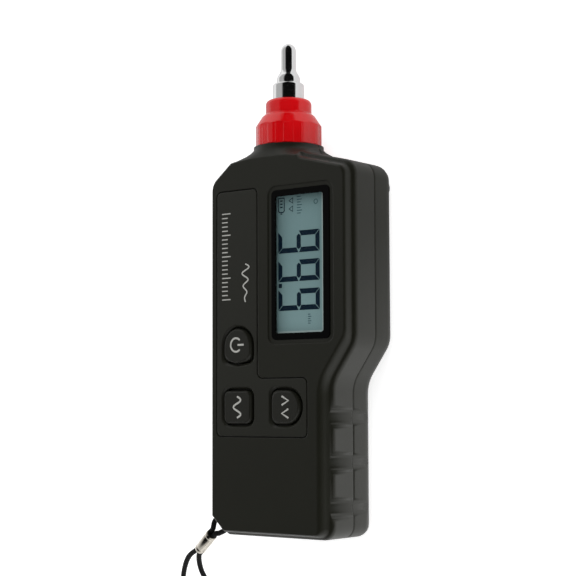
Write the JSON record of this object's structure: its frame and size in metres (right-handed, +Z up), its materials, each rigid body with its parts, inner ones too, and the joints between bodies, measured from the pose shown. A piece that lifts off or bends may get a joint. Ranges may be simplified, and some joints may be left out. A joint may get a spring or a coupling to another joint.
{
  "type": "handheld vibration meter",
  "caption": "Black handheld vibration meter with a side grip, a tall display, inlaid keys, a red screwed collar, a steel probe tip and a wrist cord",
  "frame": {"origin": "under the middle of the meter, cord left out, on the surface it lies on", "axes": "x runs across the display face to the wide side, y runs from the bottom end to the point of the probe, z points up out of the display face"},
  "size_m": [0.0982, 0.2528, 0.0295],
  "materials": {
    "housing": "satin",
    "panel": "satin",
    "bezel": "gloss",
    "window": "gloss",
    "lcd": "satin",
    "carrier": "satin",
    "backlight": "satin",
    "rubber": "satin",
    "board": "satin",
    "key_black": "satin",
    "switch": "satin",
    "chip": "matte",
    "can": "satin",
    "steel_small": "satin",
    "screw": "satin",
    "collar": "gloss",
    "gasket": "matte",
    "sensor_metal": "satin",
    "contact_metal": "satin",
    "piezo": "matte",
    "mass_metal": "satin",
    "cable": "satin",
    "probe": "gloss",
    "battery_can": "satin",
    "snap": "satin",
    "foam": "matte",
    "cord": "matte",
    "ferrule": "gloss"
  },
  "bodies": {
    "housing": {"front_shell": "housing", "rear_shell": "housing", "keypad_panel": "panel", "display_bezel": "bezel", "window_lens": "window", "lcd_glass": "lcd", "lcd_frame": "carrier", "backlight": "backlight", "contact_strips": "rubber", "main_board": "board", "key_switches": "switch", "processor_chip": "chip", "capacitors": "can", "crystal_can": "steel_small", "board_screws": "screw", "case_screws": "screw", "sensor_case": "sensor_metal", "sensor_rings": "contact_metal", "piezo_rings": "piezo", "seismic_mass": "mass_metal", "sensor_bolt": "screw", "sensor_cable": "cable", "battery": "battery_can", "battery_snap": "snap", "battery_leads": "cable", "battery_pad": "foam", "strap_loop": "cord", "strap_ferrule": "ferrule", "wrist_cord": "cord"},
    "measure_key": {"measure_button": "key_black"},
    "mode_key": {"mode_button": "key_black"},
    "range_key": {"range_button": "key_black"},
    "cover": {"battery_cover": "housing"},
    "collar_carrier": {"collar_washer": "gasket"},
    "collar_ring": {"collar": "collar"},
    "probe_carrier": {"probe_washer": "gasket"},
    "probe": {"probe_tip": "probe"}
  },
  "joints": [
    {"name": "measure_press", "type": "slide", "parent": "housing", "child": "measure_key", "axis": [0, 0, -1], "range_m": [0, 0.0006], "stiffness_N_per_m": 400, "springref_m": -0.0004},
    {"name": "mode_press", "type": "slide", "parent": "housing", "child": "mode_key", "axis": [0, 0, -1], "range_m": [0, 0.0006], "stiffness_N_per_m": 400, "springref_m": -0.0004},
    {"name": "range_press", "type": "slide", "parent": "housing", "child": "range_key", "axis": [0, 0, -1], "range_m": [0, 0.0006], "stiffness_N_per_m": 400, "springref_m": -0.0004},
    {"name": "cover_slide", "type": "slide", "parent": "housing", "child": "cover", "axis": [0, -1, 0], "range_m": [0, 0.025]},
    {"name": "collar_travel", "type": "slide", "parent": "housing", "child": "collar_carrier", "axis": [0, 1, 0], "range_m": [0, 0.0045]},
    {"name": "collar_turn", "type": "hinge", "parent": "collar_carrier", "child": "collar_ring", "pos_m": [-0.005, 0.06, 0.0145], "axis": [0, 1, 0], "range_deg": [0, 1080]},
    {"name": "probe_travel", "type": "slide", "parent": "housing", "child": "probe_carrier", "axis": [0, 1, 0], "range_m": [0, 0.0072]},
    {"name": "probe_turn", "type": "hinge", "parent": "probe_carrier", "child": "probe", "pos_m": [-0.005, 0.072, 0.0145], "axis": [0, 1, 0], "range_deg": [0, 3240]}
  ],
  "couplings": [
    {"joint": "collar_turn", "follows": "collar_travel", "rad_per_m": 4188.7},
    {"joint": "probe_turn", "follows": "probe_travel", "rad_per_m": 7853.9}
  ]
}
